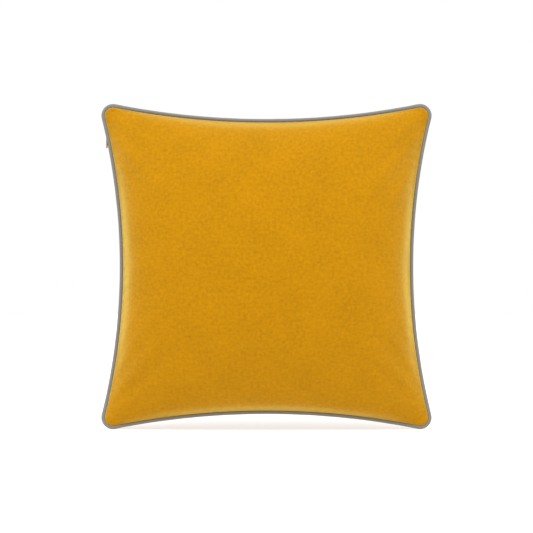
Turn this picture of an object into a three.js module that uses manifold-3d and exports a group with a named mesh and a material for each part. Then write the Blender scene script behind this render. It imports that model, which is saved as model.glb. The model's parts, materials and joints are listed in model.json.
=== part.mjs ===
// A square throw pillow: a piped velvet cover with a zip in its left side, around a filled inner pad.
// It stands on its two lower corners with its front towards -Y, +X to the right and +Z up. The origin
// is on the ground under its middle. Sizes are in millimetres.
import * as THREE from "three";
import Module from "manifold-3d";

// ---------- The outline: the outer edge of the piping ----------
const CORNER_RADIUS = 15.4;
const CORNER_X = 202.6; // from the pillow's middle to the centre of a corner's round
const CORNER_Z = 199.2;
const WAIST_X = 193.7; // from the pillow's middle to the edge halfway along a side
const WAIST_Z = 194.7;
const MIDDLE_Z = CORNER_Z + CORNER_RADIUS;

// ---------- The cover ----------
const CROWN_HEIGHT = 68; // of a panel over its seam
const REST_HEIGHT = 66; // where the crown is cut to the flat patch that the pillow rests on
const CROWN_POWER = 0.55;
const VELVET = 1.2; // thickness
const SEAM_DEPTH = 4.7; // from the outline in to the panels' seam
const SEAM_Y = 1.9; // from the middle plane out to a panel's seam
const ALLOWANCE_Y = 1.2; // from the middle plane out to the panel's turned-in edge
const ALLOWANCE_DEPTH = 13;
const COVER_RINGS = [0.16, 0.36, 0.55, 0.72, 0.86, 0.95];

// ---------- The piping ----------
const PIPING_RADIUS = 2.5;
const CORD_RADIUS = 1.6;
const SLEEVE = 0.6; // thickness
const FLANGE_Y = 0.3; // from the middle plane out to a flange tail

// ---------- The zip, in the channel between the piping and the back panel ----------
const ZIP_SIDE = 2; // the -X side
const CHAIN_Y = 7.2; // the line where the two coils meet
const CHANNEL_SHIFT = 9.6; // how far the channel pushes the back panel's edge back
const CHANNEL_END = 188.4; // along the side from its middle
const CHANNEL_BLEND = 16; // the length over which the back panel comes back to the piping
const TAPE = 0.5; // thickness
const TAPE_DEPTH = 5.8;
const TAPE_EDGE_DEPTH = 10;
const STITCH_DEPTH = 8;
const TAPE_HALF_GAP = 0.6;
const COIL_DEPTH = 4.6;
const COIL_OFFSET = 1.5; // from the chain's line to the middle of a coil
const SLIDER_ANGLE = THREE.MathUtils.degToRad(12.57); // above the middle of the side's arc
const CHAIN_ANGLE = THREE.MathUtils.degToRad(12.8);
const STOP_ANGLE = THREE.MathUtils.degToRad(12.91);
const TACK_ANGLE = THREE.MathUtils.degToRad(13.09);
const TAPE_ANGLE = THREE.MathUtils.degToRad(13.24);
const HINGE_DEPTH = 1.75; // of the pull's bar, inside the slider's bail
const HINGE_DROP = 1.2; // of the pull's bar below the slider's middle
const PULL_LENGTH = 20;
const PULL_HALF_THICKNESS = 0.8; // of its tab

// ---------- The inner pad ----------
const PAD_SHARE = 0.932; // of the cover's seam outline
const PAD_HEIGHT = 63.2;
const CALICO = 0.6; // thickness
const PAD_SEAM_Y = 0.3;
const PAD_RINGS = [0.2, 0.45, 0.68, 0.86, 0.95];
const FILL_RINGS = [0.2, 0.45, 0.68, 0.86, 0.925];
const FILL_GAP = 0.8; // between the filling and its casing

// ---------- The labels ----------
const LABEL = 0.4; // thickness
const PAD_LABEL_GAP = 0.8; // between the pad's label and its casing

const wasm = await Module();
wasm.setup();

// ---------- Closed bodies from rows of points ----------

// A mesh geometry from points and triangles, turned so that its faces point out.
function closedGeometry(points, faces) {
  const volume = faces.reduce((sum, [a, b, c]) => {
    const cross = points[b].clone().cross(points[c]);
    return sum + points[a].dot(cross);
  }, 0);
  const turned = volume < 0 ? faces.map(([a, b, c]) => [a, c, b]) : faces;
  const geometry = new THREE.BufferGeometry().setFromPoints(points);
  geometry.setIndex(turned.flat());
  geometry.computeVertexNormals();
  return geometry;
}

// Two triangles between each pair of neighbours in two rows that start at first and second.
function bridge(first, second, count, closed) {
  const faces = [];
  for (let j = 0; j < (closed ? count : count - 1); j++) {
    const k = (j + 1) % count;
    faces.push([first + j, second + j, second + k]);
    faces.push([first + j, second + k, first + k]);
  }
  return faces;
}

// A closed section carried all the way round.
function ringBody(rows) {
  const count = rows[0].length;
  const faces = rows.flatMap((_, i) => {
    const next = (i + 1) % rows.length;
    return bridge(i * count, next * count, count, true);
  });
  return closedGeometry(rows.flat(), faces);
}

// A closed section carried from one end to the other, with flat ends. flat holds the section's points
// in 2-D, in either direction round.
function stripBody(rows, flat) {
  const count = flat.length;
  const last = (rows.length - 1) * count;
  const sides = rows.slice(1).flatMap((_, i) => bridge(i * count, (i + 1) * count, count, true));
  const clockwise = THREE.ShapeUtils.isClockWise(flat);
  const ends = THREE.ShapeUtils.triangulateShape(flat, []).flatMap(([a, b, c]) => {
    const [p, q] = clockwise ? [c, b] : [b, c];
    return [
      [a, p, q],
      [last + a, last + q, last + p],
    ];
  });
  return closedGeometry(rows.flat(), sides.concat(ends));
}

// An open profile carried all the way round between two poles that its ends meet.
function poledBody(rows, firstPole, lastPole) {
  const count = rows[0].length;
  const points = rows.flat();
  const first = points.length;
  const last = first + 1;
  points.push(firstPole, lastPole);
  const faces = rows.flatMap((_, i) => {
    const here = i * count;
    const next = ((i + 1) % rows.length) * count;
    return [
      ...bridge(here, next, count, false),
      [first, next, here],
      [last, here + count - 1, next + count - 1],
    ];
  });
  return closedGeometry(points, faces);
}

// ---------- Places on the outline ----------

// Side 0 faces +X, 1 faces +Z, 2 faces -X and 3 faces -Z. Each is an arc that meets the corners' rounds.
function sideOf(index) {
  const upright = index % 2 === 0;
  const waist = upright ? WAIST_X : WAIST_Z;
  const out = upright ? CORNER_X : CORNER_Z;
  const along = upright ? CORNER_Z : CORNER_X;
  const bow = waist - out;
  const radius = (bow ** 2 + along ** 2 - CORNER_RADIUS ** 2) / (2 * (CORNER_RADIUS - bow));
  const halfAngle = Math.asin(along / (radius + CORNER_RADIUS));
  return { index, waist, out, along, radius, halfAngle };
}

const SIDES = [0, 1, 2, 3].map(sideOf);
const CORNER_SQUARE = 0.075; // the share of half a side that a corner's round takes
const CORNER_TURNS = [0, 30, 60, 90]; // where a corner's round is divided, in degrees from its side

// A station is a place on the outline: its point and the direction straight out of it, each as
// distances out of and along its side, the same place on the edge of a square from -1 to 1, and
// how far it is from the middle of the zip's side, measured along the outline.
function station(side, point, out, square, zipDistance) {
  return { turn: (side.index * Math.PI) / 2, point, out, square, zipDistance };
}

function sideStation(side, angle) {
  const point = new THREE.Vector2(
    side.waist + side.radius * (1 - Math.cos(angle)),
    side.radius * Math.sin(angle),
  );
  const out = new THREE.Vector2(Math.cos(angle), -Math.sin(angle));
  const square = [1, (angle / side.halfAngle) * (1 - CORNER_SQUARE)];
  const distance = side.index === ZIP_SIDE ? side.radius * Math.abs(angle) : Infinity;
  return station(side, point, out, square, distance);
}

// angle is the outward direction's, from this side's own outward direction towards the next side's.
function cornerStation(side, angle) {
  const next = SIDES[(side.index + 1) % 4];
  const sweep = side.halfAngle + Math.PI / 2 + next.halfAngle;
  const fraction = (angle + side.halfAngle) / sweep;
  const out = new THREE.Vector2(Math.cos(angle), Math.sin(angle));
  const centre = new THREE.Vector2(side.out, side.along);
  const point = centre.addScaledVector(out, CORNER_RADIUS);
  const square = [
    1 - CORNER_SQUARE * Math.max(0, 2 * fraction - 1),
    1 - CORNER_SQUARE * Math.max(0, 1 - 2 * fraction),
  ];
  const zip = SIDES[ZIP_SIDE];
  const zipHalf = zip.radius * zip.halfAngle;
  let distance = Infinity;
  if (side === zip) distance = zipHalf + CORNER_RADIUS * sweep * fraction;
  if (next === zip) distance = zipHalf + CORNER_RADIUS * sweep * (1 - fraction);
  return station(side, point, out, square, distance);
}

// Stations all round the outline, in order. shares are places on half a side, from its middle at 0.
function outline(shares) {
  const across = shares.map((share) => -share).reverse().concat(shares);
  return SIDES.flatMap((side) => [
    ...across.map((share) => sideStation(side, share * side.halfAngle)),
    ...CORNER_TURNS.map((turn) => cornerStation(side, THREE.MathUtils.degToRad(turn))),
  ]);
}

const COVER_OUTLINE = outline([0.13, 0.4, 0.68, 0.88, 0.955, 1]);
const PAD_OUTLINE = outline([0.15, 0.45, 0.75, 1]);

// A station's point in the part's frame, moved in by depth, scaled towards the middle by share, at y.
function place(at, depth, y, share = 1) {
  const flat = at.point.clone().addScaledVector(at.out, -depth).multiplyScalar(share);
  flat.rotateAround(new THREE.Vector2(), at.turn);
  return new THREE.Vector3(flat.x, y, MIDDLE_Z + flat.y);
}

// A section's [depth, y] points at a station.
function sectionAt(at, section) {
  return section.map(([depth, y]) => place(at, depth, y));
}

// ---------- The crown ----------

// Height over the seam at a share t of the way out from the middle to the seam.
function crown(at, t, height) {
  const [a, b] = at.square;
  const fall = (1 - (t * a) ** 2) * (1 - (t * b) ** 2);
  return height * Math.max(0, fall) ** CROWN_POWER;
}

// How far back the zip's channel pushes the back panel's edge at a station.
function channelShift(at) {
  const past = (at.zipDistance - CHANNEL_END) / CHANNEL_BLEND;
  return CHANNEL_SHIFT * (1 - THREE.MathUtils.smoothstep(past, 0, 1));
}

// A point of a cover panel, inset below its outer surface. side is -1 for the front and 1 for the back.
function coverPoint(at, t, side, inset) {
  const share = t * (1 - inset / at.point.length());
  const height = Math.min(REST_HEIGHT, crown(at, t, CROWN_HEIGHT)) - inset;
  const near = Math.max(0, (t - 0.86) / 0.14) ** 2;
  const shift = side > 0 ? channelShift(at) * near : 0;
  return place(at, SEAM_DEPTH, side * (SEAM_Y + height + shift), share);
}

// A point of the inner pad's casing, inset below its outer surface.
function padPoint(at, t, side, inset) {
  const share = PAD_SHARE * t * (1 - inset / at.point.length());
  const height = crown(at, t, PAD_HEIGHT) - inset;
  return place(at, SEAM_DEPTH, side * (PAD_SEAM_Y + height), share);
}

// ---------- Pieces ----------

// A velvet panel: a crowned shell whose edge turns in at the seam as a flat allowance.
function coverPanel(side) {
  const rows = COVER_OUTLINE.map((at) => {
    const back = side > 0 ? channelShift(at) : 0;
    const y = (value) => side * (value + back);
    // The crown rises more slowly from the seam at a corner, so the fold's inside lies deeper there.
    const fold = THREE.MathUtils.lerp(6.2, 9.5, Math.min(...at.square) ** 6);
    return [
      ...COVER_RINGS.map((t) => coverPoint(at, t, side, 0)),
      place(at, SEAM_DEPTH, y(SEAM_Y)),
      place(at, SEAM_DEPTH + 0.2, y(ALLOWANCE_Y)),
      place(at, ALLOWANCE_DEPTH, y(ALLOWANCE_Y)),
      place(at, ALLOWANCE_DEPTH, y(ALLOWANCE_Y + VELVET)),
      place(at, fold, y(ALLOWANCE_Y + VELVET)),
      ...COVER_RINGS.map((t) => coverPoint(at, t, side, VELVET)).reverse(),
    ];
  });
  const top = SEAM_Y + REST_HEIGHT;
  return poledBody(
    rows,
    new THREE.Vector3(0, side * top, MIDDLE_Z),
    new THREE.Vector3(0, side * (top - VELVET), MIDDLE_Z),
  );
}

// The piping's sleeve: fabric wrapped round the cord, with its two edges side by side as a flange.
function pipingSleeve() {
  const outside = arcSection(PIPING_RADIUS, 24, 336, 9);
  const inside = arcSection(PIPING_RADIUS - SLEEVE, 36, 324, 9).reverse();
  const tail = ALLOWANCE_DEPTH;
  const section = [
    [tail, FLANGE_Y + SLEEVE],
    ...outside,
    [tail, -FLANGE_Y - SLEEVE],
    [tail, -FLANGE_Y],
    ...inside,
    [tail, FLANGE_Y],
  ];
  return ringBody(COVER_OUTLINE.map((at) => sectionAt(at, section)));
}

// Points on a circle about the piping's centre line, from one angle to another in degrees, where 0
// points straight in.
function arcSection(radius, from, to, count) {
  return Array.from({ length: count }, (_, i) => {
    const angle = THREE.MathUtils.degToRad(from + ((to - from) * i) / (count - 1));
    return [PIPING_RADIUS + radius * Math.cos(angle), radius * Math.sin(angle)];
  });
}

function pipingCord() {
  const section = arcSection(CORD_RADIUS, 0, 315, 8);
  return ringBody(COVER_OUTLINE.map((at) => sectionAt(at, section)));
}

// The overlock row that binds the raw edges of the allowance and the piping's flange.
function coverSeamThread() {
  const depth = ALLOWANCE_DEPTH + 0.4;
  const section = [
    [depth, -1.8],
    [depth + 0.6, -1.8],
    [depth + 0.6, 1.8],
    [depth, 1.8],
  ];
  return ringBody(COVER_OUTLINE.map((at) => sectionAt(at, section)));
}

// Stations along the zip's side between two angles, measured upwards from the side's middle.
function zipStations(from, to, steps) {
  return Array.from({ length: steps + 1 }, (_, i) =>
    sideStation(SIDES[ZIP_SIDE], -(from + ((to - from) * i) / steps)),
  );
}

// A strip of constant [depth, y] section along the zip's side.
function zipStrip(section, from, to, steps) {
  const flat = section.map(([depth, y]) => new THREE.Vector2(depth, y));
  return stripBody(
    zipStations(from, to, steps).map((at) => sectionAt(at, section)),
    flat,
  );
}

// A tape: flat under its coil, then turned in along the allowance it is sewn to. side is -1 for the
// tape by the piping and 1 for the tape by the back panel.
function zipTape(side) {
  const near = CHAIN_Y + side * TAPE_HALF_GAP;
  const far = side < 0 ? ALLOWANCE_Y : ALLOWANCE_Y + CHANNEL_SHIFT - 0.3;
  const section = [
    [TAPE_DEPTH, near],
    [TAPE_DEPTH, far],
    [TAPE_EDGE_DEPTH, far],
    [TAPE_EDGE_DEPTH, far - side * TAPE],
    [TAPE_DEPTH + TAPE, far - side * TAPE],
    [TAPE_DEPTH + TAPE, near],
  ];
  return zipStrip(section, -TAPE_ANGLE, TAPE_ANGLE, 24);
}

function zipCoil(side) {
  const section = Array.from({ length: 6 }, (_, i) => {
    const angle = (i * Math.PI) / 3;
    const y = CHAIN_Y + side * COIL_OFFSET + 0.8 * Math.cos(angle);
    return [COIL_DEPTH + 0.9 * Math.sin(angle), y];
  });
  return zipStrip(section, -CHAIN_ANGLE, CHAIN_ANGLE, 24);
}

// A block across the zip between two depths and two distances from the chain's line.
function zipBlock(depths, halfWidth, from, to) {
  const section = [
    [depths[0], CHAIN_Y - halfWidth],
    [depths[1], CHAIN_Y - halfWidth],
    [depths[1], CHAIN_Y + halfWidth],
    [depths[0], CHAIN_Y + halfWidth],
  ];
  return zipStrip(section, from, to, 1);
}

function zipStop(end) {
  const width = THREE.MathUtils.degToRad(0.14);
  return zipBlock([3.7, 5.5], 1.9, end * STOP_ANGLE, end * (STOP_ANGLE + width));
}

function barTack(end) {
  const width = THREE.MathUtils.degToRad(0.1);
  return zipBlock([4.7, 5.5], 3.3, end * TACK_ANGLE, end * (TACK_ANGLE + width));
}

// The thread row that sews a tape to the allowance beside it.
function zipStitch(side) {
  const tape = side < 0 ? ALLOWANCE_Y + TAPE : ALLOWANCE_Y + CHANNEL_SHIFT - 0.3 - TAPE;
  const near = tape - side * 0.3;
  const far = near - side * 0.4;
  const section = [
    [STITCH_DEPTH, near],
    [STITCH_DEPTH + 0.4, near],
    [STITCH_DEPTH + 0.4, far],
    [STITCH_DEPTH, far],
  ];
  return zipStrip(section, -TAPE_ANGLE, TAPE_ANGLE, 24);
}

// A solid for joining and cutting, from a geometry.
function manifoldOf(geometry) {
  const source = geometry.index ? geometry.toNonIndexed() : geometry;
  const positions = source.attributes.position;
  const seen = new Map();
  const points = [];
  const triVerts = [];
  for (let i = 0; i < positions.count; i++) {
    const point = [positions.getX(i), positions.getY(i), positions.getZ(i)];
    const key = point.map((value) => Math.round(value * 1e4)).join();
    if (!seen.has(key)) {
      seen.set(key, seen.size);
      points.push(...point);
    }
    triVerts.push(seen.get(key));
  }
  return new wasm.Manifold(
    new wasm.Mesh({
      numProp: 3,
      vertProperties: new Float32Array(points),
      triVerts: new Uint32Array(triVerts),
    }),
  );
}

// One body from several that overlap.
function joined(geometries) {
  const mesh = geometries.map(manifoldOf).reduce((sum, solid) => sum.add(solid)).getMesh();
  const geometry = new THREE.BufferGeometry();
  geometry.setAttribute("position", new THREE.BufferAttribute(mesh.vertProperties, 3));
  geometry.setIndex(new THREE.BufferAttribute(mesh.triVerts, 1));
  geometry.computeVertexNormals();
  return geometry;
}

// An outline drawn across the zip (x) and along it (y), made solid between two depths.
function plate(shape, from, to) {
  const geometry = new THREE.ExtrudeGeometry(shape, {
    depth: to - from,
    bevelEnabled: false,
    curveSegments: 6,
  });
  const axes = new THREE.Matrix4().makeBasis(
    new THREE.Vector3(0, 1, 0),
    new THREE.Vector3(0, 0, 1),
    new THREE.Vector3(1, 0, 0),
  );
  return geometry.applyMatrix4(axes).translate(from, 0, 0);
}

// A slider plate's outline: square shoulders at the top, narrowing to a rounded mouth.
function sliderOutline(halfWidth, halfLength) {
  const shape = new THREE.Shape();
  const mouth = halfWidth * 0.8;
  shape.moveTo(-mouth + 0.8, -halfLength);
  shape.lineTo(mouth - 0.8, -halfLength);
  shape.quadraticCurveTo(mouth, -halfLength, mouth, -halfLength + 0.8);
  shape.lineTo(halfWidth, halfLength * 0.3);
  shape.lineTo(halfWidth, halfLength - 1.2);
  shape.quadraticCurveTo(halfWidth, halfLength, halfWidth - 1.2, halfLength);
  shape.lineTo(1.2 - halfWidth, halfLength);
  shape.quadraticCurveTo(-halfWidth, halfLength, -halfWidth, halfLength - 1.2);
  shape.lineTo(-halfWidth, halfLength * 0.3);
  shape.lineTo(-mouth, -halfLength + 0.8);
  shape.quadraticCurveTo(-mouth, -halfLength, -mouth + 0.8, -halfLength);
  return shape;
}

// The bail on the slider's outer plate, drawn along the zip (x) and in depth (y), with the hole that
// the pull's bar lies in.
function bail() {
  const shape = new THREE.Shape();
  shape.moveTo(-3, 2.8);
  shape.lineTo(3, 2.8);
  shape.quadraticCurveTo(3, 0.2, 1.6, 0.2);
  shape.lineTo(-1.6, 0.2);
  shape.quadraticCurveTo(-3, 0.2, -3, 2.8);
  const hole = new THREE.Path();
  hole.moveTo(-2, 0.9);
  hole.lineTo(2, 0.9);
  hole.lineTo(2, 2.6);
  hole.lineTo(-2, 2.6);
  shape.holes.push(hole);
  const geometry = new THREE.ExtrudeGeometry(shape, {
    depth: 1.4,
    bevelEnabled: false,
    curveSegments: 5,
  });
  const axes = new THREE.Matrix4().makeBasis(
    new THREE.Vector3(0, 0, 1),
    new THREE.Vector3(1, 0, 0),
    new THREE.Vector3(0, 1, 0),
  );
  return geometry.applyMatrix4(axes).translate(0, -0.7, 0);
}

// The slider: two plates round the coils, joined by a web that runs between them, and the bail. In its
// own frame X is depth from the outline, Y is measured from the chain's line and Z runs up the zip.
function zipSlider() {
  const web = new THREE.BoxGeometry(3.4, 0.6, 3.6).translate(5, 0, 1.9);
  return joined([
    plate(sliderOutline(3.2, 4.25), 2.6, 3.4),
    plate(sliderOutline(2.4, 4), 6.6, 7.4),
    web,
    bail(),
  ]);
}

// The pull's outline, drawn across the zip (x) and along it (y), from a given height down to the tip.
function pullOutline(top) {
  const halfWidth = 2.4;
  const tip = 0.5 - PULL_LENGTH;
  const shape = new THREE.Shape();
  shape.moveTo(-halfWidth, top);
  shape.lineTo(-halfWidth, -6);
  shape.quadraticCurveTo(-halfWidth + 0.5, -10, -halfWidth, tip + 3);
  shape.quadraticCurveTo(-halfWidth, tip, 0, tip);
  shape.quadraticCurveTo(halfWidth, tip, halfWidth, tip + 3);
  shape.quadraticCurveTo(halfWidth - 0.5, -10, halfWidth, -6);
  shape.lineTo(halfWidth, top);
  return shape;
}

// The pull: a bar that lies in the bail, two arms past the bail, and the thicker tab they carry. Its
// frame has Z up and its origin on the bar's middle.
function zipPull() {
  const loop = pullOutline(0.5);
  const gap = new THREE.Path();
  gap.moveTo(-1.2, -0.5);
  gap.lineTo(1.2, -0.5);
  gap.lineTo(1.2, -5);
  gap.lineTo(-1.2, -5);
  loop.holes.push(gap);
  return joined([
    plate(loop, -0.5, 0.5),
    plate(pullOutline(-5.5), -PULL_HALF_THICKNESS, PULL_HALF_THICKNESS),
  ]);
}

// A thin blank label that lies along a surface, over a patch of it. pointAt gives the surface.
function label(pointAt, side, of, angles, shares, inset) {
  const steps = 3;
  const lerp = THREE.MathUtils.lerp;
  const rows = Array.from({ length: steps + 1 }, (_, i) => {
    const at = sideStation(SIDES[of], lerp(angles[0], angles[1], i / steps));
    const outer = Array.from({ length: steps + 1 }, (_, j) =>
      pointAt(at, lerp(shares[0], shares[1], j / steps), side, inset),
    );
    const inner = Array.from({ length: steps + 1 }, (_, j) =>
      pointAt(at, lerp(shares[1], shares[0], j / steps), side, inset + LABEL),
    );
    return outer.concat(inner);
  });
  const flat = rows[0].map((point) => {
    const rise = Math.abs(point.y);
    const reach = Math.hypot(point.x, point.z - MIDDLE_Z);
    return new THREE.Vector2(reach, rise);
  });
  return stripBody(rows, flat);
}

// One shell of the inner pad's casing, with its edge turned in at the seam.
function padCasing(side) {
  const rows = PAD_OUTLINE.map((at) => [
    ...PAD_RINGS.map((t) => padPoint(at, t, side, 0)),
    place(at, SEAM_DEPTH, side * PAD_SEAM_Y, PAD_SHARE),
    place(at, SEAM_DEPTH, side * PAD_SEAM_Y, PAD_SHARE * 0.965),
    place(at, SEAM_DEPTH, side * (PAD_SEAM_Y + CALICO), PAD_SHARE * 0.965),
    place(at, SEAM_DEPTH, side * (PAD_SEAM_Y + CALICO), PAD_SHARE * 0.985),
    ...PAD_RINGS.map((t) => padPoint(at, t, side, CALICO)).reverse(),
  ]);
  const top = PAD_SEAM_Y + PAD_HEIGHT;
  return poledBody(
    rows,
    new THREE.Vector3(0, side * top, MIDDLE_Z),
    new THREE.Vector3(0, side * (top - CALICO), MIDDLE_Z),
  );
}

// The stitched row that binds the raw edges inside the pad's seam.
function padSeamThread() {
  const rows = PAD_OUTLINE.map((at) =>
    [
      [0.958, -0.8],
      [0.962, -0.8],
      [0.962, 0.8],
      [0.958, 0.8],
    ].map(([share, y]) => place(at, SEAM_DEPTH, y, PAD_SHARE * share)),
  );
  return ringBody(rows);
}

// The filling, as one crowned body inside the casing.
function padFill() {
  const inset = CALICO + FILL_GAP;
  const rows = PAD_OUTLINE.map((at) => [
    ...FILL_RINGS.map((t) => padPoint(at, t, -1, inset)),
    ...FILL_RINGS.map((t) => padPoint(at, t, 1, inset)).reverse(),
  ]);
  const top = PAD_SEAM_Y + PAD_HEIGHT - inset;
  return poledBody(rows, new THREE.Vector3(0, -top, MIDDLE_Z), new THREE.Vector3(0, top, MIDDLE_Z));
}

// ---------- Materials and assembly ----------

function material(color, roughness, metalness = 0) {
  return new THREE.MeshStandardMaterial({ color, roughness, metalness });
}

const velvet = () => material(0xc8890f, 0.9);
const pipingCloth = () => material(0x8c8880, 0.85);
const cottonCord = () => material(0xe6e0d2, 0.9);
const thread = () => material(0xb8860b, 0.8);
const zipTapeCloth = () => material(0xb9801a, 0.85);
const nylon = () => material(0xb07a18, 0.5);
const goldMetal = () => material(0xb07f3c, 0.35, 0.9);
const calico = () => material(0xf0ece2, 0.9);
const fibre = () => material(0xf7f6f2, 1);
const labelCloth = () => material(0xf4f4f0, 0.7);

function named(name, geometry, surface) {
  const mesh = new THREE.Mesh(geometry, surface);
  mesh.name = name;
  return mesh;
}

function throwPillow() {
  const pillow = new THREE.Group();
  pillow.add(
    named("front_panel", coverPanel(-1), velvet()),
    named("back_panel", coverPanel(1), velvet()),
    named("piping_sleeve", pipingSleeve(), pipingCloth()),
    named("piping_cord", pipingCord(), cottonCord()),
    named("cover_seam_thread", coverSeamThread(), thread()),
    named("zip_tape_front", zipTape(-1), zipTapeCloth()),
    named("zip_tape_back", zipTape(1), zipTapeCloth()),
    named("zip_coil_front", zipCoil(-1), nylon()),
    named("zip_coil_back", zipCoil(1), nylon()),
    named("zip_stitch_front", zipStitch(-1), thread()),
    named("zip_stitch_back", zipStitch(1), thread()),
    named("zip_top_stop", zipStop(1), goldMetal()),
    named("zip_bottom_stop", zipStop(-1), goldMetal()),
    named("bar_tack_top", barTack(1), thread()),
    named("bar_tack_bottom", barTack(-1), thread()),
    named(
      "care_label",
      label(coverPoint, 1, 3, [-0.17, -0.13], [0.82, 0.93], VELVET + LABEL),
      labelCloth(),
    ),
    named("pad_casing_front", padCasing(-1), calico()),
    named("pad_casing_back", padCasing(1), calico()),
    named("pad_fill", padFill(), fibre()),
    named("pad_seam_thread", padSeamThread(), thread()),
    named(
      "pad_label",
      label(padPoint, 1, 0, [-0.16, -0.11], [0.82, 0.93], -PAD_LABEL_GAP - LABEL),
      labelCloth(),
    ),
    sliderAndPull(),
  );
  return pillow;
}

// The slider sits square to the zip's arc, and the pull hangs straight down from its bail.
function sliderAndPull() {
  const side = SIDES[ZIP_SIDE];
  const at = sideStation(side, -SLIDER_ANGLE);
  const slider = new THREE.Group();
  slider.position.copy(place(at, 0, CHAIN_Y));
  slider.rotation.y = -SLIDER_ANGLE;
  slider.add(named("zip_slider", zipSlider(), goldMetal()));
  const pull = new THREE.Group();
  pull.position.set(HINGE_DEPTH, 0, -HINGE_DROP);
  pull.rotation.y = SLIDER_ANGLE;
  pull.add(named("zip_pull", zipPull(), goldMetal()));
  slider.add(pull);
  return slider;
}

export default throwPillow();
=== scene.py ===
"""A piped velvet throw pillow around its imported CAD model. Metres, +Z up."""
import json
import math

import bmesh
import bpy
import numpy as np
from mathutils import Matrix, Vector
from mathutils.bvhtree import BVHTree


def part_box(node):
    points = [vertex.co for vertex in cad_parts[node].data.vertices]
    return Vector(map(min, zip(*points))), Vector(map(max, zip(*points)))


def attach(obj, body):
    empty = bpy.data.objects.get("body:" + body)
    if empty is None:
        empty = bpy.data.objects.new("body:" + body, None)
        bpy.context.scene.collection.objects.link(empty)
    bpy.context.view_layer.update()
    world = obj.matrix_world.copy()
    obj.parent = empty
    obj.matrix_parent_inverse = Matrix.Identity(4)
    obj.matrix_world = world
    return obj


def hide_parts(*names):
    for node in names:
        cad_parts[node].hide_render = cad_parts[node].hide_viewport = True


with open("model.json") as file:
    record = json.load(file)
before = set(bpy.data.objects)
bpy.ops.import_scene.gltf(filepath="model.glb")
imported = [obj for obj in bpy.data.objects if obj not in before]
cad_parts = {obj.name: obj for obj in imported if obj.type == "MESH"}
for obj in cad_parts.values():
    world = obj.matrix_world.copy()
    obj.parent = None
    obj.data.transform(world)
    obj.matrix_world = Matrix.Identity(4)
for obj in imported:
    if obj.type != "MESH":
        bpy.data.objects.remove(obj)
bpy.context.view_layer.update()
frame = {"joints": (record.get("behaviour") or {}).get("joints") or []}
MM = 0.001

# --- The outline: the outer edge of the piping, as the CAD model has it ---
CORNER_RADIUS = 15.4 * MM
CORNER_OUT = (202.6 * MM, 199.2 * MM)  # from the middle to the centre of a corner's round
WAIST_OUT = (193.7 * MM, 194.7 * MM)  # from the middle to the edge halfway along a side
MIDDLE_Z = CORNER_OUT[1] + CORNER_RADIUS
ZIP_SIDE = 2  # sides 0, 1, 2 and 3 face +X, +Z, -X and -Z

# --- The cover ---
SEAM_DEPTH = 4.7 * MM  # in from the outline
SEAM_Y = 1.9 * MM  # from the middle plane
ALLOWANCE_Y = 1.2 * MM
ALLOWANCE_DEPTH = 13 * MM
VELVET = 1.1 * MM
FABRIC_SIDE = 428 * MM  # a panel's cut side between its seams
FABRIC_CORNER = 12 * MM
COARSE = 81  # points along a side of the simulated panel
RIPPLE_REACH = 20 * MM  # how far the puckers run in from the seam
RIPPLE_HEIGHT = 0.34 * MM
UNEVENNESS = 0.7 * MM
OUTER_RISE = 1.8 * MM  # the least that a panel's outer face stands over its seam
INNER_RISE = 0.62 * MM  # and its inner face
INNER_DEPTH = 6.3 * MM  # where the inner face meets the allowance, in from the outline
CORNER_DEPTH = 2.2 * MM  # how much deeper that is at the corners
CORNER_START = 20 * MM  # where it starts to deepen, before a corner's round
CORNER_BLEND = 30 * MM
CROWN_HEIGHT = 66 * MM  # of a panel's middle over its seam
SEAM_LEAN = 0.36  # how far a panel leans in for each unit it rises over its seam
LEAN_BLEND = 1.5 * MM  # how softly that lean takes hold
RELAX_PASSES = 16  # how long the folds are softened

# --- The zip ---
CHAIN_Y = 7.2 * MM
CHANNEL_SHIFT = 9.6 * MM
CHANNEL_END = 188.4 * MM
CHANNEL_BLEND = 16 * MM
TAPE = 0.5 * MM
TAPE_DEPTH = 5.8 * MM
TAPE_EDGE_DEPTH = 10 * MM
TAPE_HALF_GAP = 0.25 * MM
TAPE_FOLD = 0.9 * MM
COIL_DEPTH = 4.6 * MM
COIL_OFFSET = 1.2 * MM
COIL_PITCH = 1.1 * MM
FILAMENT = 0.29 * MM
STITCH_DEPTH = 8.2 * MM
STITCH_PITCH = 3.2 * MM
STITCH_LENGTH = 2.7 * MM
STITCH_RADIUS = 0.2 * MM
SLIDER_ANGLE = math.radians(12.57)  # from the middle of the zip's arc, as are the next four
CHAIN_ANGLE = math.radians(12.8)
STOP_ANGLE = math.radians(12.98)
TACK_ANGLE = math.radians(13.14)
TAPE_ANGLE = math.radians(13.24)
CAST_VOXEL = 0.13 * MM  # for the skins of the slider and the pull
TAPE_RUN_ON = 14.5 * MM  # how far the tapes run on past the opening, into the closed seam

# --- The piping and the threads ---
PIPING_RADIUS = 2.5 * MM
SLEEVE = 0.55 * MM
FLANGE_Y = 0.3 * MM
OVERLOCK_RADIUS = 0.22 * MM
OVERLOCK_PITCH = 3 * MM
STRAND_RADIUS = 0.88 * MM
STRAND_ORBIT = 0.85 * MM
STRAND_LAY = 11 * MM  # along the cord for one turn of a strand

# --- The inner pad and the labels ---
PAD_SHARE = 0.932
PAD_RISE = 0.925
PAD_SEAM_Y = 0.3 * MM
CALICO = 0.6 * MM
FILL_GAP = 0.8 * MM
LABEL = 0.3 * MM
LABEL_POINTS = 22  # along each side of a label
LABEL_HEM = 0.12 * MM
CARE_LABEL_GAP = VELVET + 0.4 * MM  # below the back panel's outer face
PAD_LABEL_GAP = -0.6 * MM  # so above the pad's casing

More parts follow.
